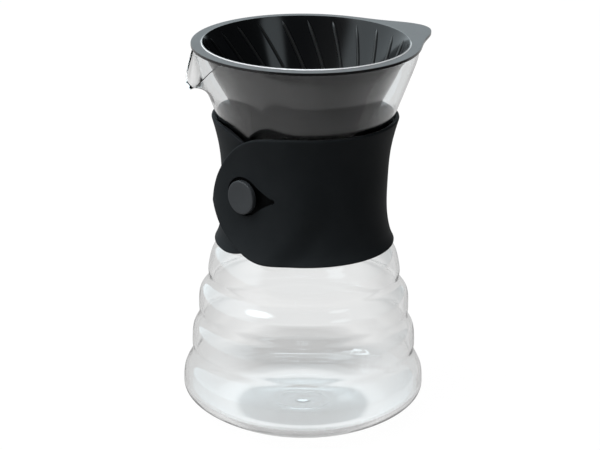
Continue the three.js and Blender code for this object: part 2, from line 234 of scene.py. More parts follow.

# Floor: white to the camera, with a fixed pattern of greys in gloss, and painted shadow and light through
# the glass
FLOOR_HALF = 6000
FLOOR_GREYS = ((0.3, 0.3, 0.3, 1), (0.33, 0.33, 0.33, 1))
FLOOR_GLOW_SHARES = (0.95, 0.85, 0.85)  # for rays from the camera, from gloss and through glass
FLOOR_WHITE = 1.04
GLOSS_LEVEL = 0.6
GLOSS_FALL = 0.55  # how much darker gloss sees the floor on its dark side
DARK_SIDE_ANGLE = 40  # from the camera's side
DARK_SIDE_REACH = (70, 300)
SHADE_LEVEL = 0.62  # painted shade: what the glass shows of the floor behind it, in the shade and away from it
SHADE_RISE = 0.3
SHADE_OFFSET = 78
SHADE_STRETCH = 0.7746  # the shade is longer across than along the view
SHADE_REACH = (22, 50)
DISC_SHADOW_FALL = 0.42  # painted shadow: the floor under the hollow base is darker
DISC_REACH = (33, 41)
GLEAM_LEVEL = 0.96  # painted ring of light where the foot stands
GLEAM_REACH = (44, 52)
FLANK_SHADE_FALL = 0.25  # painted shade: the floor is darker at both sides and in front
FLANK_REACH = (35, 75)
NEAR_SHADE_FALL = 0.45
NEAR_REACH = (38, 52)

# Studio: patches as angle from the camera's side, elevation, core and edge, all in degrees
WALLS = (-131, 0, 67, 84)
TOP_BOX = (0, 82, 12, 22)
LEFT_BOX = (-73, 56, 5, 17)
CARD = (46, 36, 8, 13)
KEY_LIGHT = (-57, 42, 8, 34)
WALL_LEVELS = (1, 1.35, 1)  # for rays from the camera, from gloss and through glass
DARK_LEVELS = (1, 0.02, 0.75)
TOP_STRENGTH = 9
LEFT_STRENGTH = 7
CARD_STRENGTH = 1.2
KEY_STRENGTH = 5
ROOM_FILL = 0.01
WALL_FILL = 0.05
GLOSS_TINT = (0.84, 0.95, 1, 1)


# Small helpers


def lerp(a, b, share):
    return a + (b - a) * share


def smoothstep(value, low, high):
    share = min(max((value - low) / (high - low), 0), 1)
    return share * share * (3 - 2 * share)


def diagonal(a, b):
    """Length across two sides at a right angle, as numbers or as wires."""
    return (a * a + b * b) ** 0.5


def polar(radius, degrees, height):
    angle = math.radians(degrees)
    return Vector((radius * math.cos(angle), radius * math.sin(angle), height))


def toward(degrees, elevation):
    """Direction at an angle about Z and an elevation."""
    rise = math.radians(elevation)
    return polar(math.cos(rise), degrees, math.sin(rise))


def bezier(points, share):
    """Point on a Bezier curve with any number of control points."""
    while len(points) > 1:
        points = [a.lerp(b, share) for a, b in zip(points, points[1:])]
    return points[0]


def spline(knots, steps):
    """Smooth curve through the knots, with steps between two of them."""
    ends = [knots[0], *knots, knots[-1]]
    points = []
    for before, a, b, after in zip(ends, ends[1:], ends[2:], ends[3:]):
        for i in range(steps):
            t = i / steps
            leave = (b - before) / 2
            arrive = (after - a) / 2
            points.append(
                a * (2 * t**3 - 3 * t**2 + 1)
                + leave * (t**3 - 2 * t**2 + t)
                + b * (3 * t**2 - 2 * t**3)
                + arrive * (t**3 - t**2)
            )
    return [*points, knots[-1]]


def filleted(corners, steps=5):
    """Closed outline from (radius, height, rounding) corners, each corner eased over its rounding."""
    points = []
    for i, (x, y, rounding) in enumerate(corners):
        here = Vector((x, y))
        before = Vector(corners[i - 1][:2])
        after = Vector(corners[(i + 1) % len(corners)][:2])
        if rounding == 0:
            points.append(here)
            continue
        start = here + (before - here).normalized() * rounding
        end = here + (after - here).normalized() * rounding
        points += [bezier([start, here, end], k / steps) for k in range(steps + 1)]
    return points


def runs(points):
    """The straight runs of a closed outline."""
    return list(zip(points, [*points[1:], points[0]]))


def divided(points, counts):
    """The same closed outline with each run divided into that many parts."""
    result = []
    for (a, b), count in zip(runs(points), counts):
        result += [a.lerp(b, k / count) for k in range(count)]
    return result


# Nodes


class Wire:
    """A value that flows between nodes. Arithmetic on it adds Math nodes."""

    def __init__(self, net, socket):
        self.net = net
        self.socket = socket

    def __add__(self, other):
        return self.net.math("ADD", self, other)

    def __sub__(self, other):
        return self.net.math("SUBTRACT", self, other)

    def __mul__(self, other):
        return self.net.math("MULTIPLY", self, other)

    def __truediv__(self, other):
        return self.net.math("DIVIDE", self, other)

    def __mod__(self, other):
        return self.net.math("MODULO", self, other)

    def __pow__(self, other):
        return self.net.math("POWER", self, other)

    def __radd__(self, other):
        return self.net.math("ADD", other, self)

    def __rsub__(self, other):
        return self.net.math("SUBTRACT", other, self)

    def __rmul__(self, other):
        return self.net.math("MULTIPLY", other, self)

    def __rtruediv__(self, other):
        return self.net.math("DIVIDE", other, self)

    def __rpow__(self, other):
        return self.net.math("POWER", other, self)

    def __abs__(self):
        return self.net.math("ABSOLUTE", self)


class Net:
    """A node tree that is built node by node."""

    def __init__(self, tree):
        self.tree = tree

    def add(self, kind, settings=None, inputs=None, output=0):
        """Adds a node: its type, its settings, then the values or links of its sockets."""
        node = self.tree.nodes.new(kind)
        for name, value in (settings or {}).items():
            setattr(node, name, value)
        self.feed(node, inputs or {})
        return Wire(self, node.outputs[output])

    def feed(self, node, inputs):
        for key, value in inputs.items():
            if isinstance(value, Wire):
                self.tree.links.new(value.socket, node.inputs[key])
            else:
                node.inputs[key].default_value = value

    def math(self, operation, *values):
        return self.add("ShaderNodeMath", {"operation": operation}, dict(enumerate(values)))

    def mix_colours(self, factor, a, b):
        settings = {"data_type": "RGBA"}
        return self.add("ShaderNodeMix", settings, {0: factor, 6: a, 7: b}, output=2)

    def eased(self, value, low, high):
        """0 below low, 1 above high, smooth between them."""
        settings = {"interpolation_type": "SMOOTHSTEP"}
        return self.add("ShaderNodeMapRange", settings, {"Value": value, "From Min": low, "From Max": high})

    def fade(self, value, low, high):
        """The same between two distances in millimetres."""
        return self.eased(value, low * MM, high * MM)

    def split(self, vector):
        """The X, Y and Z of a vector."""
        node = self.add("ShaderNodeSeparateXYZ", {}, {"Vector": vector}).socket.node
        return [Wire(self, output) for output in node.outputs]

    def noise(self, place, scale, detail):
        return self.add("ShaderNodeTexNoise", {}, {"Vector": place, "Scale": scale, "Detail": detail})

    def bump(self, height, distance, strength):
        inputs = {"Height": height, "Distance": distance, "Strength": strength}
        return self.add("ShaderNodeBump", {}, inputs)


# Finishes


class Finish:
    """A material with one surface shader, and the net that its pattern is built in."""

    def __init__(self, name, **constants):
        self.material = bpy.data.materials.new(name)
        self.material.use_nodes = True
        self.net = Net(self.material.node_tree)
        self.surface = self.material.node_tree.nodes["Principled BSDF"]
        for socket, value in constants.items():
            self.surface.inputs[socket.replace("_", " ")].default_value = value
        self.place = self.net.add("ShaderNodeTexCoord", output="Object")

    def give(self, **inputs):
        self.net.feed(self.surface, {key.replace("_", " "): value for key, value in inputs.items()})
        return self.material


def clear_glass():
    """Blown glass: very slightly uneven, with faint smears that soften its reflections."""
    finish = Finish("clear_glass", Transmission_Weight=1.0, IOR=1.47)
    net = finish.net
    waves = net.noise(finish.place, scale=38, detail=1)
    smears = net.noise(finish.place, scale=14, detail=3)
    return finish.give(
        Base_Color=net.mix_colours(smears, CLEAR_TINT, SMEAR_TINT),
        Roughness=net.eased(smears, low=0.5, high=0.8) * SMEAR_ROUGHNESS,
        Normal=net.bump(waves, distance=0.0012, strength=0.08),
    )


def moulded_plastic(name, polish):
    """Black plastic: polished in the bowl and on the cone, satin on top of the flange.
    The slope of the bead between them carries a painted highlight, a pale line."""
    finish = Finish(name, IOR=1.5)
    net = finish.net
    x, y, z = net.split(finish.place)
    reach = diagonal(x, y)
    bead = MOUTH_RADIUS + BEAD_WIDTH
    slope = bead - BEAD_SLOPE
    satin_low = FLANGE_TOP - BEAD_HEIGHT - SATIN_DEPTH
    on_top = net.fade(z, satin_low - FINISH_EDGE, satin_low)
    on_flange = net.fade(reach, bead - FINISH_EDGE, bead) * on_top
    # the bead's slope gets a painted highlight, a pale line
    painted_highlight = net.fade(reach, slope, slope + FINISH_EDGE) * on_top * (1 - on_flange)
    grain = net.noise(finish.place, scale=2600, detail=2)
    flow = net.noise(finish.place, scale=45, detail=3)
    gloss = polish + flow * GLOSS_FLOW
    satin = FLANGE_ROUGHNESS + flow * SATIN_FLOW
    colour = net.mix_colours(on_flange, BOWL_BLACK, FLANGE_BLACK)
    return finish.give(
        Base_Color=net.mix_colours(painted_highlight, colour, BEAD_PAINTED_HIGHLIGHT),
        Roughness=gloss + (satin - gloss) * on_flange,
        Normal=net.bump(grain * on_flange, distance=0.00008, strength=0.35),
    )


def black_silicone():
    """Soft matt silicone: fine skin texture, a faint bloom of dust, and painted shade under the flap."""
    finish = Finish("black_silicone", Specular_IOR_Level=0.07)
    net = finish.net
    skin = net.noise(finish.place, scale=1900, detail=3)
    bloom = net.noise(finish.place, scale=60, detail=4)
    x, y, z = net.split(finish.place)
    outward = polar(1, BUTTON_ANGLE, 0)
    out = x * outward.x + y * outward.y
    across = x * outward.y - y * outward.x
    up = z - BUTTON_HEIGHT * MM
    beneath = BUTTON_SEAT + BAND_THICKNESS
    # painted shade on the inner end under the flap, around the button
    is_low = 1 - net.fade(diagonal(x, y), *(beneath + rise for rise in PAINTED_SHADE_RISE))
    is_near = 1 - net.fade(diagonal(across, up), *PAINTED_SHADE_REACH)
    painted_shade = is_low * is_near * net.fade(out, *PAINTED_SHADE_SIDE)
    dusty = net.mix_colours(net.eased(bloom, low=0.35, high=0.75), SILICONE_BLACK, SILICONE_DUST)
    return finish.give(
        Base_Color=net.mix_colours(painted_shade, dusty, PAINTED_SHADE_BLACK),
        Roughness=SILICONE_ROUGHNESS + bloom * SILICONE_BLOOM,
        Normal=net.bump(skin, distance=0.0001, strength=0.3),
    )


def button_plastic():
    """Dark grey button: satin, with a fine grain."""
    finish = Finish("button_plastic", IOR=1.46)
    net = finish.net
    grain = net.noise(finish.place, scale=2200, detail=2)
    bloom = net.noise(finish.place, scale=90, detail=3)
    return finish.give(
        Base_Color=net.mix_colours(bloom, BUTTON_GREY, BUTTON_DUST),
        Roughness=BUTTON_ROUGHNESS + bloom * BUTTON_BLOOM,
        Normal=net.bump(grain, distance=0.00008, strength=0.3),
    )


# Meshes


def mesh_piece(name, points, faces, material):
    """A mesh object from points in millimetres, smooth except at its sharp edges."""
    mesh = bpy.data.meshes.new(name)
    mesh.from_pydata([point * MM for point in points], [], faces)
    mesh.materials.append(material)
    mesh.shade_smooth()
    mesh.set_sharp_from_angle(angle=math.radians(SHARP_ANGLE))
    piece = bpy.data.objects.new(name, mesh)
    bpy.context.collection.objects.link(piece)
    return piece


def swept(name, loops, material, is_ring):
    """Skin over a row of closed loops; the end loops are capped unless the row is a ring."""
    size = len(loops[0])
    count = len(loops)
    faces = []
    for i in range(count if is_ring else count - 1):
        here = i * size
        following = (i + 1) % count * size
        for j in range(size):
            k = (j + 1) % size
            faces.append((here + j, following + j, following + k, here + k))
    if not is_ring:
        faces.append(tuple(range(size)))
        faces.append(tuple(reversed(range((count - 1) * size, count * size))))
    return mesh_piece(name, [point for loop in loops for point in loop], faces, material)


def turned(name, outline, steps, material):
    """Turned piece about Z from an open outline that starts and ends on the axis."""
    points = [Vector((0, 0, outline[0].y)), Vector((0, 0, outline[-1].y))]
    rows = outline[1:-1]
    for i in range(steps):
        points += [polar(row.x, FULL_TURN * i / steps, row.y) for row in rows]
    faces = []
    for i in range(steps):
        here = 2 + i * len(rows)
        following = 2 + (i + 1) % steps * len(rows)
        faces.append((0, following, here))
        faces.append((1, here + len(rows) - 1, following + len(rows) - 1))
        for j in range(len(rows) - 1):
            faces.append((here + j, following + j, following + j + 1, here + j + 1))
    return mesh_piece(name, points, faces, material)


def settle(piece, modifier):
    """Turns what the modifier makes into the piece's own plain mesh."""
    evaluated = piece.evaluated_get(bpy.context.evaluated_depsgraph_get())
    mesh = bpy.data.meshes.new_from_object(evaluated)
    if piece.type == "MESH":
        piece.modifiers.remove(modifier)
        piece.data = mesh
        return piece
    name = piece.name
    bpy.data.objects.remove(piece)
    piece = bpy.data.objects.new(name, mesh)
    bpy.context.collection.objects.link(piece)
    return piece


def node_modifier(piece, tree, values):
    """Adds a Geometry Nodes modifier and sets its named inputs."""
    modifier = piece.modifiers.new(tree.name, "NODES")
    modifier.node_group = tree
    for item in tree.interface.items_tree:
        if item.in_out == "INPUT" and item.name in values:
            modifier[item.identifier] = values[item.name]
    return modifier


def node_tree(name, inputs):
    """A Geometry Nodes tree with a geometry in and out, and the named inputs."""
    tree = bpy.data.node_groups.new(name, "GeometryNodeTree")
    tree.interface.new_socket("Geometry", in_out="OUTPUT", socket_type="NodeSocketGeometry")
    tree.interface.new_socket("Geometry", in_out="INPUT", socket_type="NodeSocketGeometry")
    for label, kind in inputs.items():
        tree.interface.new_socket(label, in_out="INPUT", socket_type=kind)
    source = tree.nodes.new("NodeGroupInput")
    net = Net(tree)
    return net, {socket.name: Wire(net, socket) for socket in source.outputs if socket.name}


def end_tree(net, geometry, finish):
    """The tree's last nodes: instances made real, shaded smooth and given their finish."""
    real = net.add("GeometryNodeRealizeInstances", {}, {"Geometry": geometry})
    smooth = net.add("GeometryNodeSetShadeSmooth", {}, {"Geometry": real})
    finished = net.add("GeometryNodeSetMaterial", {}, {"Geometry": smooth, "Material": finish})
    out = net.tree.nodes.new("NodeGroupOutput")
    net.feed(out, {"Geometry": finished})


# Carafe

LAST_RING_HEIGHT = FIRST_RING_HEIGHT + (len(RING_RADII) - 1) * RING_PITCH


def neck_height(share):
    """Height at a share of the way from the last ring up to the rim."""
    return lerp(LAST_RING_HEIGHT, RIM_HEIGHT, share)


def wall_outline():
    """Outer outline of the carafe's wall, from the belly to the start of the rim's rounding."""
    crest = Vector((BELLY_RADIUS, BELLY_HEIGHT))
    knots = [crest]
    for i, radius in enumerate(RING_RADII):
        height = FIRST_RING_HEIGHT + i * RING_PITCH
        knots.append(crest + Vector((-SHOULDER_INSET, SHOULDER_RISE)))
        knots.append(Vector((radius - GROOVE_INSET, height - GROOVE_DROP)))
        crest = Vector((radius, height))
        knots.append(crest)
    for flare, share in NECK_OUTLINE:
        knots.append(Vector((lerp(NECK_RADIUS, RIM_RADIUS, flare), neck_height(share))))
    knots.append(Vector((RIM_RADIUS, RIM_HEIGHT - RIM_WALL / 2)))
    return spline(knots, WALL_STEPS)


WALL = wall_outline()
WALL_HEIGHTS = [point.y for point in WALL]


def glass_radius(height):
    """Outer radius of the glass at a height above the belly."""
    i = min(max(bisect_left(WALL_HEIGHTS, height), 1), len(WALL) - 1)
    low, high = WALL[i - 1], WALL[i]
    return lerp(low.x, high.x, (height - low.y) / (high.y - low.y))


def inward(points):
    """The same outline one wall thickness further in; the wall thins towards the rim."""
    thick_to = neck_height(BAND_LOW_SHARE)
    thin_from = neck_height(LIP_START_SHARE)
    result = []
    for i, point in enumerate(points):
        along = points[min(i + 1, len(points) - 1)] - points[max(i - 1, 0)]
        along.normalize()
        wall = lerp(GLASS_WALL, RIM_WALL, smoothstep(point.y, thick_to, thin_from))
        result.append(point + Vector((-along.y, along.x)) * wall)
    return result


def hollow_height(radius):
    """Height of the base's hollow inside the foot ring."""
    edge = FOOT_RADIUS - FOOT_WIDTH
    return PUNT_RISE * (1 - smoothstep(radius, edge * PUNT_FLAT_SHARE, edge))


def relief_height(radius):
    """How far the soft moulded ring and nub stand out of the underside."""
    ring = MOULD_RING_HEIGHT * math.exp(-(((radius - MOULD_RING_RADIUS) / MOULD_RING_WIDTH) ** 2))
    return ring + MOULD_NUB_HEIGHT * math.exp(-((radius / MOULD_NUB_WIDTH) ** 2))


def carafe_outline():
    """Outline of the glass from the middle of its underside, up the outside, and down the inside."""
    base_controls = []
    for share, rise in ((0, 0), *BASE_CURVE, (1, 1)):
        base_controls.append(Vector((lerp(FOOT_RADIUS, BELLY_RADIUS, share), BELLY_HEIGHT * rise)))
    base = [bezier(base_controls, i / BASE_STEPS) for i in range(FOOT_STEPS, BASE_STEPS)]
    foot = [Vector((FOOT_RADIUS - FOOT_EASE, 0)), Vector((FOOT_RADIUS, 0)), base[0]]
    outside = [bezier(foot, i / BASE_STEPS) for i in range(BASE_STEPS)] + base + WALL
    inside = list(reversed(inward(outside)))
    underside = []
    floor = []
    for i in range(UNDERSIDE_STEPS):
        radius = (FOOT_RADIUS - FOOT_WIDTH) * i / (UNDERSIDE_STEPS - 1)
        underside.append(Vector((radius, max(hollow_height(radius) - relief_height(radius), 0))))
        floor.insert(0, Vector((radius, hollow_height(radius) + GLASS_WALL)))
    top = WALL[-1] - Vector((RIM_WALL / 2, 0))
    rim = []
    for i in range(1, RIM_STEPS):
        angle = math.pi * i / RIM_STEPS
        rim.append(top + Vector((math.cos(angle), math.sin(angle))) * RIM_WALL / 2)
    return underside + outside + rim + inside + floor


def turned_glass_tree():
    """Turns an outline about Z and pulls a pouring lip out of its rim at -X."""
    net, sizes = node_tree("turned_glass", {
        "Steps": "NodeSocketInt",
        "Rows": "NodeSocketInt",
        "Rim Radius": "NodeSocketFloat",
        "Rim Height": "NodeSocketFloat",
        "Lip Reach": "NodeSocketFloat",
        "Lip Drop": "NodeSocketFloat",
        "Lip Start": "NodeSocketFloat",
        "Lip Half Angle": "NodeSocketFloat",
        "Lip Crowding": "NodeSocketFloat",
        "Finish": "NodeSocketMaterial",
    })
    grid = net.add("GeometryNodeMeshGrid", {}, {
        "Vertices X": sizes["Steps"] + 1,
        "Vertices Y": sizes["Rows"],
    })
    index = net.add("GeometryNodeInputIndex")
    row = index % sizes["Rows"]
    column = net.math("FLOOR", (index + 0.5) / sizes["Rows"])
    place = net.add("GeometryNodeInputPosition")
    point = net.add("GeometryNodeSampleIndex", {"data_type": "FLOAT_VECTOR"}, {
        "Geometry": sizes["Geometry"],
        "Value": place,
        "Index": row,
    })
    radius, _, height = net.split(point)
    even_turn = column / sizes["Steps"] * math.tau - math.pi
    turn = even_turn + sizes["Lip Crowding"] * net.math("SINE", even_turn)
    away = net.math("MINIMUM", (math.pi - abs(turn)) / sizes["Lip Half Angle"], 1.0)
    lip_height = sizes["Rim Height"] - sizes["Lip Start"]
    up = net.math("MAXIMUM", (height - sizes["Lip Start"]) / lip_height, 0.0)
    pull = (1 + net.math("COSINE", away * math.pi)) / 2 * up * up
    reach = radius + pull * (sizes["Lip Reach"] - sizes["Rim Radius"])
    spot = net.add("ShaderNodeCombineXYZ", {}, {
        "X": reach * net.math("COSINE", turn),
        "Y": reach * net.math("SINE", turn),
        "Z": height - pull * sizes["Lip Drop"],
    })
    shaped = net.add("GeometryNodeSetPosition", {}, {"Geometry": grid, "Position": spot})
    closed = net.add("GeometryNodeMergeByDistance", {}, {"Geometry": shaped, "Distance": SEAM_MERGE * MM})
    end_tree(net, closed, sizes["Finish"])
    return net.tree


def outline_curve(name, outline):
    """A straight-run curve object along an outline, in the XZ plane."""
    curve = bpy.data.curves.new(name, "CURVE")
    curve.dimensions = "3D"
    run = curve.splines.new("POLY")
    run.points.add(len(outline) - 1)
    for point, place in zip(run.points, outline):
        point.co = (place.x * MM, 0, place.y * MM, 1)
    piece = bpy.data.objects.new(name, curve)
    bpy.context.collection.objects.link(piece)
    return piece


def make_carafe(glass):
    outline = carafe_outline()
    piece = outline_curve("glass_carafe", outline)
    modifier = node_modifier(piece, turned_glass_tree(), {
        "Steps": CARAFE_STEPS,
        "Rows": len(outline),
        "Rim Radius": RIM_RADIUS * MM,
        "Rim Height": RIM_HEIGHT * MM,
        "Lip Reach": LIP_REACH * MM,
        "Lip Drop": LIP_DROP * MM,
        "Lip Start": neck_height(LIP_START_SHARE) * MM,
        "Lip Half Angle": math.radians(LIP_HALF_ANGLE),
        "Lip Crowding": LIP_CROWDING,
        "Finish": glass,
    })
    piece = settle(piece, modifier)
    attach(piece, "carafe")
    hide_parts("carafe")


# Dripper

CONE_SLOPE = math.tan(math.radians(CONE_HALF_ANGLE))


def bowl_height(radius):
    """Height of the bowl's inner face at a radius."""
    return MOUTH_HEIGHT - (MOUTH_RADIUS - radius) / CONE_SLOPE


def flange_radius(degrees):
    """Outer radius of the flange, which swells into the thumb tab like a bell curve."""
    away = (degrees - TAB_ANGLE + FULL_TURN / 2) % FULL_TURN - FULL_TURN / 2
    return FLANGE_RADIUS + TAB_LENGTH * math.exp(-((away / TAB_SPREAD_ANGLE) ** 2))


def dripper_section(degrees):
    """Outline of the dripper's wall at one angle: up the outside, over the flange, down the bowl."""
    level_wall = CONE_WALL / math.cos(math.radians(CONE_HALF_ANGLE))
    outlet_top = bowl_height(OUTLET_RADIUS)
    tip = outlet_top - OUTLET_LENGTH
    seat = RIM_HEIGHT + SEAT_GAP
    top = FLANGE_TOP - BEAD_HEIGHT
    edge = flange_radius(degrees)
    corners = [
        (OUTLET_RADIUS + level_wall - OUTLET_LENGTH * CONE_SLOPE, tip, TIP_ROUND),
        (MOUTH_RADIUS - (MOUTH_HEIGHT - seat) * CONE_SLOPE + level_wall, seat, SEAT_ROUND),
        (edge, seat, FLANGE_ROUND),
        (edge, top, FLANGE_ROUND),
        (MOUTH_RADIUS + BEAD_WIDTH, top, BEAD_FOOT_ROUND),
        (MOUTH_RADIUS + BEAD_WIDTH - BEAD_SLOPE, FLANGE_TOP, BEAD_ROUND),
        (MOUTH_RADIUS + (FLANGE_TOP - MOUTH_HEIGHT) * CONE_SLOPE, FLANGE_TOP, BEAD_ROUND),
        (OUTLET_RADIUS, outlet_top, OUTLET_ROUND),
        (OUTLET_RADIUS, tip, TIP_ROUND),
    ]
    return filleted(corners)


def make_dripper(plastic):
    loops = []
    counts = [math.ceil((b - a).length / LONGEST_RUN) for a, b in runs(dripper_section(TAB_ANGLE))]
    for i in range(DRIPPER_STEPS):
        degrees = FULL_TURN * i / DRIPPER_STEPS
        section = divided(dripper_section(degrees), counts)
        loops.append([polar(point.x, degrees, point.y) for point in section])
    piece = swept("dripper_bowl", loops, plastic, True)
    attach(piece, "dripper")
    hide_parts("dripper")


def rib_tree():
    """Round beads that wind down the bowl on spirals, evenly spaced about Z."""
    net, sizes = node_tree("spiral_ribs", {
        "Count": "NodeSocketInt",
        "Steps": "NodeSocketInt",
        "Sides": "NodeSocketInt",
        "Top Radius": "NodeSocketFloat",
        "End Radius": "NodeSocketFloat",
        "Top Height": "NodeSocketFloat",
        "Slope": "NodeSocketFloat",
        "Twist": "NodeSocketFloat",
        "First Angle": "NodeSocketFloat",
        "Bead Radius": "NodeSocketFloat",
        "Finish": "NodeSocketMaterial",
    })
    line = net.add("GeometryNodeCurvePrimitiveLine")
    run = net.add("GeometryNodeResampleCurve", {}, {"Curve": line, "Count": sizes["Steps"]})
    share = net.add("GeometryNodeSplineParameter", output="Factor")
    fall = net.math("LOGARITHM", sizes["End Radius"] / sizes["Top Radius"], math.e) * share
    radius = sizes["Top Radius"] * net.math("EXPONENT", fall)
    turn = fall * sizes["Twist"]
    spot = net.add("ShaderNodeCombineXYZ", {}, {
        "X": radius * net.math("COSINE", turn),
        "Y": radius * net.math("SINE", turn),
        "Z": sizes["Top Height"] - (sizes["Top Radius"] - radius) / sizes["Slope"],
    })
    spiral = net.add("GeometryNodeSetPosition", {}, {"Geometry": run, "Position": spot})
    swell = (1 - abs(share * 2 - 1) ** RIB_END_POWER) ** 0.5 + RIB_END_SHARE
    profile = net.add("GeometryNodeCurvePrimitiveCircle", {}, {
        "Resolution": sizes["Sides"],
        "Radius": sizes["Bead Radius"],
    })
    rib = net.add("GeometryNodeCurveToMesh", {}, {
        "Curve": spiral,
        "Profile Curve": profile,
        "Scale": swell,
        "Fill Caps": True,
    })
    spots = net.add("GeometryNodePoints", {}, {"Count": sizes["Count"]})
    index = net.add("GeometryNodeInputIndex")
    angle = sizes["First Angle"] + index / sizes["Count"] * math.tau
    rotation = net.add("FunctionNodeAxisAngleToRotation", {}, {"Axis": (0, 0, 1), "Angle": angle})
    ribs = net.add("GeometryNodeInstanceOnPoints", {}, {
        "Points": spots,
        "Instance": rib,
        "Rotation": rotation,
    })
    end_tree(net, ribs, sizes["Finish"])
    return net.tree


def make_ribs(plastic):
    """Long and short ribs take turns around the bowl."""
    tree = rib_tree()
    pitch = FULL_TURN / RIB_COUNT
    rows = (
        ("dripper_long_ribs", LONG_RIB_END, RIB_FIRST_ANGLE),
        ("dripper_short_ribs", SHORT_RIB_END, RIB_FIRST_ANGLE + pitch),
    )
    for name, end, first in rows:
        piece = bpy.data.objects.new(name, bpy.data.meshes.new(name))
        bpy.context.collection.objects.link(piece)
        modifier = node_modifier(piece, tree, {
            "Count": RIB_COUNT // 2,
            "Steps": RIB_STEPS,
            "Sides": RIB_SIDES,
            "Top Radius": RIB_TOP_RADIUS * MM,
            "End Radius": end * MM,
            "Top Height": bowl_height(RIB_TOP_RADIUS) * MM,
            "Slope": CONE_SLOPE,
            "Twist": RIB_TWIST,
            "First Angle": math.radians(first),
            "Bead Radius": RIB_BEAD_RADIUS * MM,
            "Finish": plastic,
        })
        piece = settle(piece, modifier)
        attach(piece, "dripper")


# Band

BAND_LOW = neck_height(BAND_LOW_SHARE)
BAND_HIGH = neck_height(BAND_HIGH_SHARE)
BUTTON_HEIGHT = neck_height(BUTTON_HEIGHT_SHARE)
BUTTON_SEAT = glass_radius(BUTTON_HEIGHT) + GAP
FLAP_FACE = BUTTON_SEAT + LAYER + BAND_THICKNESS
TAPER_ANGLE = TAPER_START_ANGLE + TAPER_TIP_ANGLE
MM_PER_DEGREE = math.radians(FLAP_FACE)


def end_curve(controls):
    """An end's edge as points: share of the taper, share of the height."""
    points = [Vector(control) for control in controls]
    return [bezier(points, i / OUTLINE_STEPS) for i in range(OUTLINE_STEPS + 1)]


UPPER_CURVE = end_curve(UPPER_END)
LOWER_CURVE = end_curve(LOWER_END)
TIP_HEIGHT = BUTTON_HEIGHT - END_SINK


def height_share(curve, along):
    """Share of the height that an end's edge still has at a share of the taper."""
    i = max(1, bisect_left([point.x for point in curve], along))
    before, after = curve[i - 1], curve[i]
    return lerp(before.y, after.y, (along - before.x) / (after.x - before.x))


def end_edges(along):
    """Lower and upper edge of an end at a share of its taper."""
    low = lerp(TIP_HEIGHT, BAND_LOW, height_share(LOWER_CURVE, along))
    return low, lerp(TIP_HEIGHT, BAND_HIGH, height_share(UPPER_CURVE, along))


def end_outline():
    """The tapered end's two edges, flattened: distance along the taper and height."""
    length = TAPER_ANGLE * MM_PER_DEGREE
    upper = [Vector((point.x * length, lerp(TIP_HEIGHT, BAND_HIGH, point.y))) for point in UPPER_CURVE]
    lower = [Vector((point.x * length, lerp(TIP_HEIGHT, BAND_LOW, point.y))) for point in LOWER_CURVE]
    return upper + lower


END_OUTLINE = end_outline()


def edge_distance(along, height, low, high):
    """Distance to the band's nearest edge, along being the share of the taper, or 0 before it."""
    level = min(height - low, high - height)
    if along == 0 or level == 0:
        return level
    spot = Vector((along * TAPER_ANGLE * MM_PER_DEGREE, height))
    return min(level, min((spot - point).length for point in END_OUTLINE))


def rounded_off(distance, rounding):
    """How far a face drops at that distance from a rounded edge."""
    short = max(rounding - distance, 0)
    return rounding - math.sqrt(max(rounding * rounding - short * short, 0))


def band_loop(degrees, lift, along, low, high):
    """Loop around the band's thickness at one angle: up the outer face, down the inner face.
    lift gives how far it stands off the glass at an angle and a height."""
    loop = []
    for rows, is_outer in ((BAND_ROWS, True), (INNER_ROWS, False)):
        for i in range(rows + 1):
            share = (1 - math.cos(math.pi * i / rows)) / 2
            height = lerp(low, high, share if is_outer else 1 - share)
            distance = edge_distance(along, height, low, high)
            if is_outer:
                depth = BAND_THICKNESS - rounded_off(distance, OUTER_ROUND)
            else:
                depth = rounded_off(distance, INNER_ROUND)
            stand = GAP + lift(degrees, height)
            loop.append(polar(glass_radius(height) + stand + depth, degrees, height))
    return loop


def end_shares():
    """Steps along an end's taper, closer together near its tip."""
    return [math.sin(math.pi / 2 * i / END_STEPS) * TIP_SHARE for i in range(END_STEPS + 1)]


def no_lift(degrees, height):
    return 0


def make_cuff(silicone):
    """The band from its seam behind the neck round to the inner end beneath the flap."""
    seam = BUTTON_ANGLE + SEAM_ANGLE
    taper_start = BUTTON_ANGLE - TAPER_START_ANGLE + FULL_TURN
    count = math.ceil((taper_start - seam) / BAND_STEP_ANGLE)
    loops = []
    for i in range(count):
        loops.append(band_loop(lerp(seam, taper_start, i / count), no_lift, 0, BAND_LOW, BAND_HIGH))
    for along in end_shares():
        low, high = end_edges(along)
        loops.append(band_loop(taper_start + along * TAPER_ANGLE, no_lift, along, low, high))
    piece = swept("neck_band_cuff", loops, silicone, False)
    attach(piece, "carafe")
    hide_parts("band_cuff")


def flap_lift(degrees, height):
    """How far the flap stands off the glass: its tip springs up, and past the inner end it settles."""
    edge = ((height - BUTTON_HEIGHT) / (BAND_HIGH - BUTTON_HEIGHT)) ** 2
    bend = BUTTON_ANGLE + lerp(HINGE_ANGLE, EDGE_HINGE_ANGLE, edge)
    spring = TIP_LIFT * smoothstep(BUTTON_ANGLE - degrees, 0, TAPER_TIP_ANGLE)
    return spring + LAYER * (1 - smoothstep(degrees, bend, bend + LIFT_ANGLE))


def arc(middle, radius, first, last, steps):
    """Points on an arc about a middle on the button's line, between two angles in radians."""
    angles = [lerp(first, last, i / steps) for i in range(steps + 1)]
    return [Vector((radius * math.cos(angle) + middle, radius * math.sin(angle))) for angle in angles]


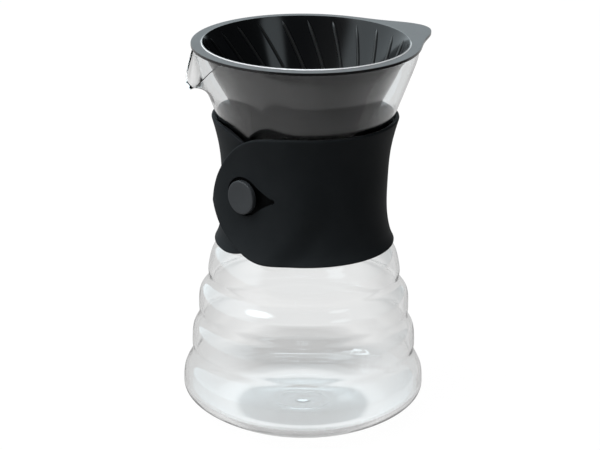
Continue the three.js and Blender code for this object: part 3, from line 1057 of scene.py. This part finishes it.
def keyhole_cutter():
    """A bar with the keyhole's outline, along the button's axis through the flap."""
    open_angle = math.radians(HOLE_OPEN_ANGLE)
    neck_angle = math.pi - math.asin(SLIT_NECK / SLIT_RADIUS)
    round_end = arc(-HOLE_SHIFT, HOLE_RADIUS, open_angle, math.tau - open_angle, HOLE_STEPS)
    slit_end = arc(SLIT_REACH - SLIT_RADIUS, SLIT_RADIUS, -neck_angle, neck_angle, HOLE_STEPS // 2)
    bend = Vector((HOLE_RADIUS, HOLE_SIDE_BEND))
    upper_side = [slit_end[-1], bend, round_end[0]]
    lower_side = [round_end[-1], Vector((bend.x, -bend.y)), slit_end[0]]
    outline = round_end
    outline += [bezier(lower_side, i / HOLE_STEPS) for i in range(1, HOLE_STEPS)]
    outline += slit_end
    outline += [bezier(upper_side, i / HOLE_STEPS) for i in range(1, HOLE_STEPS)]
    loops = []
    for depth in (FLAP_FACE + 2 * LAYER, BUTTON_SEAT - LAYER):
        loops.append([on_button(point.x, point.y, depth) for point in outline])
    return swept("keyhole", loops, None, False)


def on_button(along, up, out):
    """Point in the button's frame: along the band, up, and out from the neck's axis."""
    angle = math.radians(BUTTON_ANGLE)
    outward = Vector((math.cos(angle), math.sin(angle), 0))
    sideways = Vector((-math.sin(angle), math.cos(angle), 0))
    return outward * out + sideways * along + Vector((0, 0, BUTTON_HEIGHT + up))


def make_flap(silicone):
    """The band's outer end, from its tip past the button and its bend to the seam behind the neck."""
    taper_start = BUTTON_ANGLE + TAPER_START_ANGLE
    seam = BUTTON_ANGLE + SEAM_ANGLE
    loops = []
    for along in reversed(end_shares()):
        low, high = end_edges(along)
        loops.append(band_loop(taper_start - along * TAPER_ANGLE, flap_lift, along, low, high))
    count = math.ceil((seam - taper_start) / BAND_STEP_ANGLE)
    for i in range(1, count + 1):
        degrees = lerp(taper_start, seam, i / count)
        loops.append(band_loop(degrees, flap_lift, 0, BAND_LOW, BAND_HIGH))
    piece = swept("neck_band_flap", loops, silicone, False)
    cutter = keyhole_cutter()
    cut = piece.modifiers.new("keyhole", "BOOLEAN")
    cut.operation = "DIFFERENCE"
    cut.solver = "EXACT"
    cut.object = cutter
    piece = settle(piece, cut)
    bpy.data.objects.remove(cutter)
    piece.data.set_sharp_from_angle(angle=math.radians(SHARP_ANGLE))
    middle = BUTTON_SEAT + BAND_THICKNESS
    hinge = BUTTON_ANGLE + HINGE_ANGLE
    start = polar(middle, hinge + BEND_BEHIND_ANGLE, BUTTON_HEIGHT) * MM
    end = polar(middle, hinge - BEND_BEFORE_ANGLE, BUTTON_HEIGHT) * MM
    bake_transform(piece)
    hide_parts("band_flap")


def make_button(plastic):
    head_low = FLAP_FACE + HEAD_CLEARANCE
    head_top = head_low + HEAD_THICKNESS
    foot = BUTTON_SEAT + BAND_THICKNESS - SHANK_ROOT
    corners = [
        (0, foot, 0),
        (SHANK_RADIUS, foot, SHANK_ROUND),
        (SHANK_RADIUS, head_low, HEAD_UNDER_ROUND),
        (HEAD_RADIUS, head_low, HEAD_UNDER_ROUND),
        (HEAD_RADIUS, head_top, HEAD_ROUND),
        (HEAD_RADIUS * DISH_EDGE_SHARE, head_top - HEAD_DISH * DISH_EDGE_DROP, DISH_ROUND),
        (HEAD_RADIUS * DISH_FLOOR_SHARE, head_top - HEAD_DISH, DISH_ROUND),
        (0, head_top - HEAD_DISH, 0),
    ]
    piece = turned("neck_band_button", filleted(corners), BUTTON_STEPS, plastic)
    for vertex in piece.data.vertices:
        across, up, out = vertex.co / MM
        vertex.co = on_button(across, up, out) * MM
    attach(piece, "carafe")
    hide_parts("band_button")


# Stage


def ray_share(net, camera, glossy, transmission):
    """A value for rays from the camera, from gloss and through glass, and 0 for light that spreads."""
    rays = []
    for kind, value in (("Camera", camera), ("Glossy", glossy), ("Transmission", transmission)):
        rays.append(net.add("ShaderNodeLightPath", output=f"Is {kind} Ray") * value)
    return net.math("MAXIMUM", rays[0], net.math("MAXIMUM", rays[1], rays[2]))


def floor_levels(net, place):
    """How bright the floor is in gloss, and how bright it is through the glass, where it carries painted
    shadow and light.
    The pattern is fixed on the floor and laid out for the photograph's view."""
    x, y, _ = net.split(place)
    ahead = polar(1, CAMERA_ANGLE, 0)
    dark_side = polar(1, CAMERA_ANGLE + DARK_SIDE_ANGLE, 0)
    before = x * ahead.x + y * ahead.y
    aside = abs(x * ahead.y - y * ahead.x)
    reach = diagonal(x, y)
    darkened = net.fade(x * dark_side.x + y * dark_side.y, *DARK_SIDE_REACH)
    past_shade = before + SHADE_OFFSET * MM
    away = net.fade(diagonal(past_shade, aside * SHADE_STRETCH), *SHADE_REACH)
    # painted shadow under the base, a painted ring of light round the foot, and painted shade behind and
    # beside it
    disc = 1 - net.fade(reach, *DISC_REACH)
    gleam = (1 - disc) * (1 - net.fade(reach, *GLEAM_REACH))
    flank = net.fade(aside, *FLANK_REACH)
    near = net.fade(before, *NEAR_REACH)
    shaded = (SHADE_LEVEL + SHADE_RISE * away) * (1 - DISC_SHADOW_FALL * disc)
    lit = shaded + (GLEAM_LEVEL - shaded) * gleam
    in_gloss = GLOSS_LEVEL - GLOSS_FALL * darkened
    return in_gloss, lit * (1 - FLANK_SHADE_FALL * flank) * (1 - NEAR_SHADE_FALL * near)


def floor_finish():
    """White floor: it shows as white to the camera and pale in the glass, and keeps a soft shadow."""
    material = bpy.data.materials.new("white_floor")
    material.use_nodes = True
    net = Net(material.node_tree)
    material.node_tree.nodes.remove(material.node_tree.nodes["Principled BSDF"])
    place = net.add("ShaderNodeTexCoord", output="Object")
    paper = net.noise(place, scale=900, detail=2)
    matt = net.add("ShaderNodeBsdfDiffuse", {}, {"Color": net.mix_colours(paper, *FLOOR_GREYS)})
    level = ray_share(net, FLOOR_WHITE, *floor_levels(net, place))
    glow = net.add("ShaderNodeEmission", {}, {"Color": WHITE, "Strength": level})
    mixed = net.add("ShaderNodeMixShader", {}, {0: ray_share(net, *FLOOR_GLOW_SHARES), 1: matt, 2: glow})
    net.feed(material.node_tree.nodes["Material Output"], {"Surface": mixed})
    return material


def make_floor():
    corners = ((-1, -1), (1, -1), (1, 1), (-1, 1))
    points = [Vector((x * FLOOR_HALF, y * FLOOR_HALF, -GAP)) for x, y in corners]
    floor = mesh_piece("floor", points, [(0, 1, 2, 3)], floor_finish())


def patch(net, direction, angle, elevation, core, edge):
    """1 in a round patch of the surroundings, fading from its core to 0 at its edge."""
    middle = toward(CAMERA_ANGLE + angle, elevation)
    settings = {"operation": "DOT_PRODUCT"}
    facing = net.add("ShaderNodeVectorMath", settings, {0: direction, 1: middle}, output="Value")
    return net.eased(facing, math.cos(math.radians(edge)), math.cos(math.radians(core)))


def make_world():
    """Studio around the object: white walls behind it and to its left, dark in front, and softboxes.
    The key light reaches matt surfaces only."""
    world = bpy.data.worlds.new("studio")
    bpy.context.scene.world = world
    world.use_nodes = True
    net = Net(world.node_tree)
    direction = net.add("ShaderNodeTexCoord", output="Generated")
    walls = patch(net, direction, *WALLS)
    top = patch(net, direction, *TOP_BOX)
    left = patch(net, direction, *LEFT_BOX)
    key = patch(net, direction, *KEY_LIGHT)
    card = patch(net, direction, *CARD)
    light = ray_share(net, *WALL_LEVELS)
    dark = ray_share(net, *DARK_LEVELS)
    spread = 1 - ray_share(net, 1, 1, 1)
    unseen = 1 - net.add("ShaderNodeLightPath", output="Is Camera Ray")
    fill = ROOM_FILL + WALL_FILL * walls + KEY_STRENGTH * key
    room = dark + (light - dark) * walls + spread * fill
    boxes = top * TOP_STRENGTH + left * LEFT_STRENGTH + card * CARD_STRENGTH
    strength = room + unseen * boxes
    gloss_ray = net.add("ShaderNodeLightPath", output="Is Glossy Ray")
    colour = net.mix_colours(gloss_ray, WHITE, GLOSS_TINT)
    net.feed(world.node_tree.nodes["Background"], {"Color": colour, "Strength": strength})


def make_camera():
    data = bpy.data.cameras.new("camera")
    data.sensor_width = SENSOR_WIDTH
    data.lens = FOCAL_PIXELS * SENSOR_WIDTH / IMAGE_WIDTH
    data.shift_x = -AIM_PIXEL_SHIFT[0] / IMAGE_WIDTH
    data.shift_y = AIM_PIXEL_SHIFT[1] / IMAGE_WIDTH
    data.dof.use_dof = False
    camera = bpy.data.objects.new("camera", data)
    place = polar(CAMERA_DISTANCE, CAMERA_ANGLE, CAMERA_HEIGHT)
    aim = Vector((0, 0, AIM_HEIGHT))
    turn = (aim - place).to_track_quat("-Z", "Y").to_matrix().to_4x4()
    camera.location = place * MM
    camera.rotation_euler = turn.to_euler()
    camera.rotation_euler.rotate_axis("Z", math.radians(CAMERA_ROLL))
    bpy.context.collection.objects.link(camera)
    bpy.context.scene.camera = camera


make_camera()
make_world()
make_floor()
make_carafe(clear_glass())
make_dripper(moulded_plastic("polished_plastic", BOWL_ROUGHNESS))
make_ribs(moulded_plastic("rib_plastic", RIB_ROUGHNESS))
silicone = black_silicone()
make_cuff(silicone)
make_flap(silicone)
make_button(button_plastic())

bpy.context.scene.view_settings.view_transform = "Standard"
